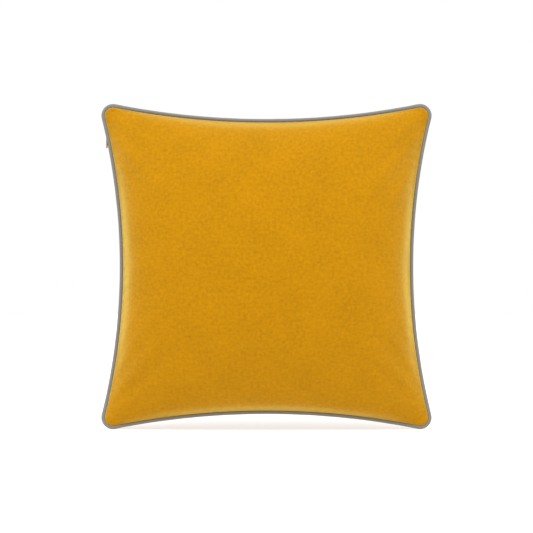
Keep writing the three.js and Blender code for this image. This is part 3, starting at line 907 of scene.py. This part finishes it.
def zip_tape(name, face):
    """A tape: flat under its coil with a thicker woven edge, then turned in with a soft fold."""
    near = CHAIN_Y + face * TAPE_HALF_GAP
    inside = tape_far(face) - face * TAPE / 2
    middle = TAPE_DEPTH + TAPE / 2
    turn = np.radians(np.linspace(0, 90, 6))
    flat = np.linspace(near, inside - face * TAPE_FOLD, 8)[:-1]
    depths = np.concatenate([
        np.full(7, middle), middle + TAPE_FOLD * (1 - np.cos(turn)), [8.6 * MM, TAPE_EDGE_DEPTH]
    ])
    ys = np.concatenate([flat, inside - face * TAPE_FOLD * (1 - np.sin(turn)), [inside, inside]])
    path = np.stack([depths, ys], axis=1)
    along = np.gradient(path, axis=0)
    along /= np.linalg.norm(along, axis=1, keepdims=True)
    across = np.stack([along[:, 1], -along[:, 0]], axis=1) * TAPE / 2
    across[0] *= 1.3
    section = np.concatenate([path + across, (path - across)[::-1]])
    half = zip_lengths(TAPE_ANGLE, TAPE_DEPTH, 2)[-1] + TAPE_RUN_ON
    lengths = np.linspace(-half, half, 190)
    at = places(ZIP_SIDE, lengths, TAPE_DEPTH)
    open_share = channel_shift(ZIP_SIDE, lengths) / CHANNEL_SHIFT
    rows = np.stack(
        [at.at(depth, ALLOWANCE_Y + (y - ALLOWANCE_Y) * open_share) for depth, y in section], axis=1
    )
    shape = Shape()
    shape.solid(rows)
    piece(name, shape, "zip_tape")


def squarer(wave, power):
    """A sine or cosine with its rounds pushed out towards a square."""
    return np.sign(wave) * np.abs(wave) ** power


def zip_coil(name, face):
    """A nylon coil: a filament wound round a cord, half a turn out of step with the other."""
    length = 2 * (SIDES[ZIP_SIDE].radius + COIL_DEPTH) * CHAIN_ANGLE
    turns = round(length / COIL_PITCH)
    steps = 10
    lengths = zip_lengths(CHAIN_ANGLE, COIL_DEPTH, turns * steps + 1)
    phase = np.arange(len(lengths)) * 2 * math.pi / steps + (math.pi if face > 0 else 0)
    at = places(ZIP_SIDE, lengths, COIL_DEPTH)
    depth = COIL_DEPTH + 0.6 * MM * squarer(np.sin(phase), 0.75)
    y = CHAIN_Y + face * (COIL_OFFSET - 0.7 * MM * squarer(np.cos(phase), 0.75))
    shape = Shape()
    along = np.gradient(at.at(COIL_DEPTH, CHAIN_Y), axis=0)
    tube(shape, at.at(depth, y), along, FILAMENT)
    core = places(ZIP_SIDE, lengths[::steps // 2], COIL_DEPTH)
    tube(shape, core.at(COIL_DEPTH, CHAIN_Y + face * COIL_OFFSET), core.directions(), 0.3 * MM)
    piece(name, shape, "zip_coil")


def zip_stitch(name, face):
    """The row that sews a tape to the allowance beside it: each stitch is a short bowed thread."""
    y = tape_far(face) - face * (TAPE + 0.45 * MM)
    start, end = zip_lengths(TAPE_ANGLE, STITCH_DEPTH, 2)
    span = np.linspace(-0.5, 0.5, 7)
    bow = 0.5 * STITCH_RADIUS * (1 - (2 * span) ** 2)
    radii = STITCH_RADIUS * np.array([0.45, 0.85, 1, 1, 1, 0.85, 0.45])
    shape = Shape()
    for middle in np.arange(start + STITCH_PITCH / 2, end, STITCH_PITCH):
        at = places(ZIP_SIDE, middle + span * STITCH_LENGTH, STITCH_DEPTH)
        tube(shape, at.at(STITCH_DEPTH, y + bow), at.directions(), radii)
    piece(name, shape, "thread")


def zip_frame(angle):
    """The frame of a part on the zip: X is depth from the outline, Y is across, Z is up."""
    at = places(ZIP_SIDE, [-SIDES[ZIP_SIDE].radius * angle], 0)
    origin = at.at(0, CHAIN_Y)[0]
    inward = -at.directions()[0]
    up = np.array([-inward[2], 0, inward[0]])
    return Matrix([*np.column_stack([inward, (0, 1, 0), up, origin]).tolist(), (0, 0, 0, 1)])


def zip_stop(name, end):
    """A metal stop, crimped round the ends of both coils, with a groove for each."""
    shape = Shape()
    half = 1.0 * MM
    half_width = 1.9 * MM
    bottom = 5.45 * MM
    bevel = 0.25 * MM
    across = np.linspace(-half_width, half_width, 25)
    groove = 0.22 * MM * np.cos(across / half_width * 2 * math.pi) ** 2
    edge = 0.35 * MM * np.abs(across / half_width) ** 8
    top = 3.75 * MM + groove + edge
    sections = []
    for up, inset in ((-half, bevel), (-half * 0.75, 0), (half * 0.75, 0), (half, bevel)):
        upper = np.stack([top + inset, across], axis=1)
        lower = np.stack([np.full(25, bottom), across[::-1]], axis=1)
        sections.append(np.insert(np.concatenate([upper, lower]), 2, up, axis=1))
    shape.solid(sections)
    piece(name, shape, "gold_metal", at=zip_frame(end * STOP_ANGLE))


def bar_tack(name, end):
    """Close stitches back and forth across the end of the opening."""
    passes = 9
    t = np.linspace(0, passes * math.pi, passes * 10 + 1)
    y = 3.0 * MM * np.clip(1.25 * np.cos(t), -1, 1)
    up = (t / t[-1] - 0.5) * 1.15 * MM
    depth = 5.05 * MM - 0.12 * MM * np.cos(y / (3.2 * MM) * math.pi / 2)
    shape = Shape()
    tube(shape, np.stack([depth, y, up], axis=1), (1, 0, 0), 0.19 * MM)
    piece(name, shape, "thread", at=zip_frame(end * TACK_ANGLE))


# --- The slider and its pull, as castings ---

def prism(shape, outline, start, end):
    """Adds an outline of (y, z) points, in millimetres, as a solid between two depths."""
    outline = np.asarray(outline, float) * MM
    shape.solid([np.insert(outline, 0, depth * MM, axis=1) for depth in (start, end)])


def block(shape, low, high):
    """Adds a box between two corners, in millimetres."""
    outline = [(low[1], low[2]), (high[1], low[2]), (high[1], high[2]), (low[1], high[2])]
    prism(shape, outline, low[0], high[0])


def cast(name, shape):
    """One smooth skin round solids that overlap, as a cast part has."""
    rough = mesh_from(name, shape)
    outward(rough)
    holder = placed(name, rough)
    remesh = holder.modifiers.new("skin", "REMESH")
    remesh.mode = "VOXEL"
    remesh.voxel_size = CAST_VOXEL
    smooth = holder.modifiers.new("smooth", "SMOOTH")
    smooth.factor = 0.5
    smooth.iterations = 3
    graph = bpy.context.evaluated_depsgraph_get()
    mesh = bpy.data.meshes.new_from_object(holder.evaluated_get(graph))
    bpy.data.objects.remove(holder)
    mesh.shade_smooth()
    return mesh


def outward(mesh):
    """Turns the faces of closed shells to point out."""
    work = bmesh.new()
    work.from_mesh(mesh)
    bmesh.ops.recalc_face_normals(work, faces=work.faces)
    work.to_mesh(mesh)
    work.free()


def slider_outline(half_width, half_length, inset):
    """Square shoulders at the top, narrowing to a rounded mouth."""
    mouth = half_width * 0.8 - inset
    wide = half_width - inset
    long = half_length - inset
    right = [
        (mouth - 0.8, -long), (mouth - 0.25, -long + 0.2), (mouth, -long + 0.8),
        (wide, half_length * 0.3), (wide, long - 1.2), (wide - 0.25, long - 0.35), (wide - 1.2, long),
    ]
    return right + [(-y, z) for y, z in reversed(right)]


def zip_slider():
    """Two plates with rims round the coils, the web between them and the bail."""
    shape = Shape()
    outer_plate, inner_plate = (3.2, 4.25), (2.4, 4)  # half width and half length
    for plate, inset, start, end in (
        (outer_plate, 0.45, 2.6, 3.4),
        (outer_plate, 0.15, 2.8, 3.4),
        (outer_plate, 0, 3.0, 3.4),
        (inner_plate, 0.3, 6.6, 7.4),
        (inner_plate, 0, 6.6, 7.15),
    ):
        prism(shape, slider_outline(*plate, inset), start, end)
    rim = np.array([(2.75, -3.2), (3.2 * 0.88, -3.2), (3.2, 1.3), (3.2, 3.6), (2.75, 3.6)])
    for sign in (-1, 1):
        prism(shape, rim * (sign, 1), 3.2, 5.1)
    block(shape, (3.2, -0.17, 0.1), (6.8, 0.17, 3.7))
    turn = np.linspace(0, 2 * math.pi, 28, endpoint=False)
    loops = []
    for width, middle, height in ((3.0, 1.6, 1.4), (2.0, 1.75, 0.85)):
        z = width * squarer(np.cos(turn), 0.6)
        depth = middle + height * squarer(np.sin(turn), 0.6)
        loops.append(np.stack([depth, z], axis=1) * MM)
    outside, inside = loops
    sides = ((outside, -0.7), (outside, 0.7), (inside, 0.7), (inside, -0.7))
    rows = np.stack([np.insert(loop, 1, y * MM, axis=1) for loop, y in sides], axis=1)
    shape.grid(rows, close_rows=True, close_columns=True)
    piece("zip_slider", cast("zip_slider", shape), "gold_metal", "slider", zip_frame(SLIDER_ANGLE))


def zip_pull():
    """The pull: a bar in the bail, two arms past it, and a waisted tab with a raised border."""
    shape = Shape()
    half, wide = 0.5, 2.4  # of its thickness and its width
    neck, shoulder, tip = -5, -16.5, 3  # the tab's start, its tip's start and the tip's length
    border_top, raised = -6.6, 0.8
    block(shape, (-half, -wide, -half), (half, wide, half))
    for low, high in ((-wide, -wide / 2), (wide / 2, wide)):
        block(shape, (-half, low, neck - 0.4), (half, high, 0))
    round_off = shoulder - tip * np.sin(np.linspace(0.1, 1.45, 8))
    z = np.concatenate([np.linspace(neck, shoulder, 14), round_off])
    waist = wide - 0.42 * np.clip(np.sin((neck - z) / (neck - shoulder) * math.pi), 0, 1)
    closing = np.where(z < shoulder, np.sqrt(np.clip(1 - ((shoulder - z) / tip) ** 2, 0, 1)), 1)
    outer = np.stack([waist * closing, z], axis=1)
    prism(shape, np.concatenate([outer, outer[::-1] * (-1, 1)]), -half, half)
    inner = outer * (0.62, 1)
    inner[:, 1] = border_top + (z - neck) * 0.82
    for row in range(len(outer) - 1):
        quad = np.array([outer[row], outer[row + 1], inner[row + 1], inner[row]])
        for sign in (-1, 1):
            prism(shape, quad * (sign, 1), -raised, raised)
    block(shape, (-half, -wide + 0.1, border_top), (half, wide - 0.1, neck))
    hinge = next(joint for joint in frame["joints"] if joint["name"] == "pull_swing")
    hung = Matrix.Translation(Vector(hinge["pos_m"]))
    piece("zip_pull", cast("zip_pull", shape), "gold_metal", "pull", hung)


# --- The labels ---

def label(name, outer, gap):
    """A blank label with a raised hem, gap below a grid of points."""
    low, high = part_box(name)
    under = Shape()
    under.grid(outer)
    tree = BVHTree.FromPolygons(under.points[0].tolist(), under.faces[0].tolist())
    last = LABEL_POINTS - 1
    front = np.zeros((LABEL_POINTS, LABEL_POINTS, 3))
    back = np.zeros_like(front)
    for i in range(LABEL_POINTS):
        for j in range(LABEL_POINTS):
            x = low.x + (high.x - low.x) * (0.06 + 0.88 * j / last)
            z = low.z + (high.z - low.z) * (0.06 + 0.88 * i / last)
            place, normal, _, _ = tree.ray_cast(Vector((x, 0.3, z)), Vector((0, -1, 0)))
            normal = normal if normal.y > 0 else -normal
            hem = LABEL_HEM if min(i, j, last - i, last - j) < 3 else 0
            front[i, j] = place - normal * (gap - hem)
            back[i, j] = place - normal * (gap + LABEL + hem)
    shape = Shape()
    fabric = np.moveaxis(np.indices((LABEL_POINTS, LABEL_POINTS)), 0, -1) * 2 * MM
    first = shape.grid(front, fabric, flip=True)
    second = shape.grid(back, fabric)
    join_rows(shape, [border_of(first), border_of(second)], flip=True)
    piece(name, shape, "label")


# --- The inner pad ---

def shrunk(points, share):
    """Points drawn in towards the pillow's middle line, which runs front to back."""
    points = points.copy()
    points[..., 0] *= share
    points[..., 2] = MIDDLE_Z + (points[..., 2] - MIDDLE_Z) * share
    return points


def pad_surface(form, face, inset):
    """The pad's surface on one side, from the cover's form, inset below the casing's outside."""
    grid = shrunk(form, PAD_SHARE)
    grid[..., 1] = face * (PAD_SEAM_Y + np.abs(form[..., 1] + SEAM_Y) * PAD_RISE)
    grid[..., 1] += 0.5 * MM * soft_noise(31 + face, len(grid), 12)
    seat(grid, pad_edges(len(grid), PAD_SHARE, face * PAD_SEAM_Y))
    if not inset:
        return grid
    moved = grid - normals_of(grid, face) * inset
    moved[..., 1] = face * np.maximum(face * moved[..., 1], PAD_SEAM_Y + CALICO)
    return moved


def pad_edges(count, share, y):
    """The cover's seam drawn in by a share, on each side, at y."""
    edges = [shrunk(edge, share) for edge in seam_edges(count, SEAM_DEPTH, SEAM_Y, -1)]
    for edge in edges:
        edge[:, 1] = y
    return edges


def pad_casing(name, face, form):
    """One shell of the casing, with its edge turned in at the seam."""
    outer = pad_surface(form, face, 0)
    inner = pad_surface(form, face, CALICO)
    count = len(outer)
    inside = PAD_SEAM_Y + CALICO
    turned_in = [pad_edges(count, PAD_SHARE * 0.965, face * y) for y in (PAD_SEAM_Y, inside)]
    seat(inner, pad_edges(count, PAD_SHARE * 0.985, face * inside))
    shape = shell(outer, inner, turned_in, coons(cut_edges(count))[..., [0, 2]], face)
    piece(name, shape, "calico")


def pad_fill(form):
    """The filling: one lumpy body of fibre that fills the casing."""
    shape = Shape()
    borders = []
    for face in (-1, 1):
        grid = shrunk(pad_surface(form, face, CALICO + FILL_GAP), 0.972)
        lumps = soft_noise(41 + face, len(grid), 26)
        lumps += 0.6 * soft_noise(43 + face, len(grid), 60)
        rise = np.clip(edge_rings(len(grid)) / 6, 0, 1)
        grid = grid - normals_of(grid, face) * (0.8 * MM * rise * (1 + lumps))[..., None]
        seat(grid, pad_edges(len(grid), PAD_SHARE * 0.94, face * 1.5 * MM))
        borders.append(border_of(shape.grid(grid, flip=face > 0)))
    join_rows(shape, borders)
    piece("pad_fill", shape, "fibre")


def pad_seam_thread():
    """The overlock row round the pad's edge."""
    shape = Shape()
    at, phase = swings(SEAM_DEPTH, 6)
    path = shrunk(at.at(SEAM_DEPTH, 0.55 * MM * np.sin(phase)), PAD_SHARE * 0.96)
    tube(shape, path, at.directions(), 0.2 * MM, 5, True)
    piece("pad_seam_thread", shape, "pad_thread")


# --- The studio ---

def camera():
    data = bpy.data.cameras.new("camera")
    data.sensor_width = SENSOR
    data.lens = SENSOR * CAMERA_DISTANCE / PHOTO_WIDTH
    made = placed("camera", data)
    made.location = (0, -CAMERA_DISTANCE, MIDDLE_Z)
    made.rotation_euler = (math.pi / 2, 0, 0)
    bpy.context.scene.camera = made


def studio():
    """White surroundings, a soft sun from above the front, and a pale floor."""
    scene = bpy.context.scene
    scene.view_settings.view_transform = "Standard"
    world = bpy.data.worlds.new("studio")
    scene.world = world
    world.use_nodes = True
    world.node_tree.nodes["Background"].inputs["Color"].default_value = (*WHITE, 1)
    light = bpy.data.lights.new("key", "SUN")
    light.energy = SUN_STRENGTH
    light.angle = SUN_SPREAD
    towards = Vector((
        math.sin(SUN_AZIMUTH) * math.cos(SUN_ELEVATION),
        -math.cos(SUN_AZIMUTH) * math.cos(SUN_ELEVATION),
        math.sin(SUN_ELEVATION),
    ))
    placed("key", light).rotation_euler = towards.to_track_quat("Z", "Y").to_euler()
    nodes = Nodes("floor")
    grain = nodes.noise(nodes.place(), 40, 3)
    colour = nodes.shaded(grain, WHITE, (0.3, 0.5), (0.7, 0.52))
    nodes.surface(colour, 0.8, 0.2, Emission_Color=(*WHITE, 1), Emission_Strength=0.5)
    mesh = bpy.data.meshes.new("floor")
    half = FLOOR_HALF
    corners = [(-half, -half, 0), (half, -half, 0), (half, half, 0), (-half, half, 0)]
    mesh.from_pydata(corners, [], [(0, 1, 2, 3)])
    floor = placed("floor", mesh)
    mesh.materials.append(nodes.material)


def main():
    camera()
    front = cover_panel("front_panel", -1)
    back = cover_panel("back_panel", 1)
    form = front[::2, ::2]
    piping_sleeve()
    piping_cord()
    cover_seam_thread()
    for where, face in (("front", -1), ("back", 1)):
        zip_tape(f"zip_tape_{where}", face)
        zip_coil(f"zip_coil_{where}", face)
        zip_stitch(f"zip_stitch_{where}", face)
        pad_casing(f"pad_casing_{where}", face, form)
    for where, end in (("top", 1), ("bottom", -1)):
        zip_stop(f"zip_{where}_stop", end)
        bar_tack(f"bar_tack_{where}", end)
    zip_slider()
    zip_pull()
    label("care_label", back, CARE_LABEL_GAP)
    label("pad_label", pad_surface(form, 1, 0), PAD_LABEL_GAP)
    pad_fill(form)
    pad_seam_thread()
    studio()


main()
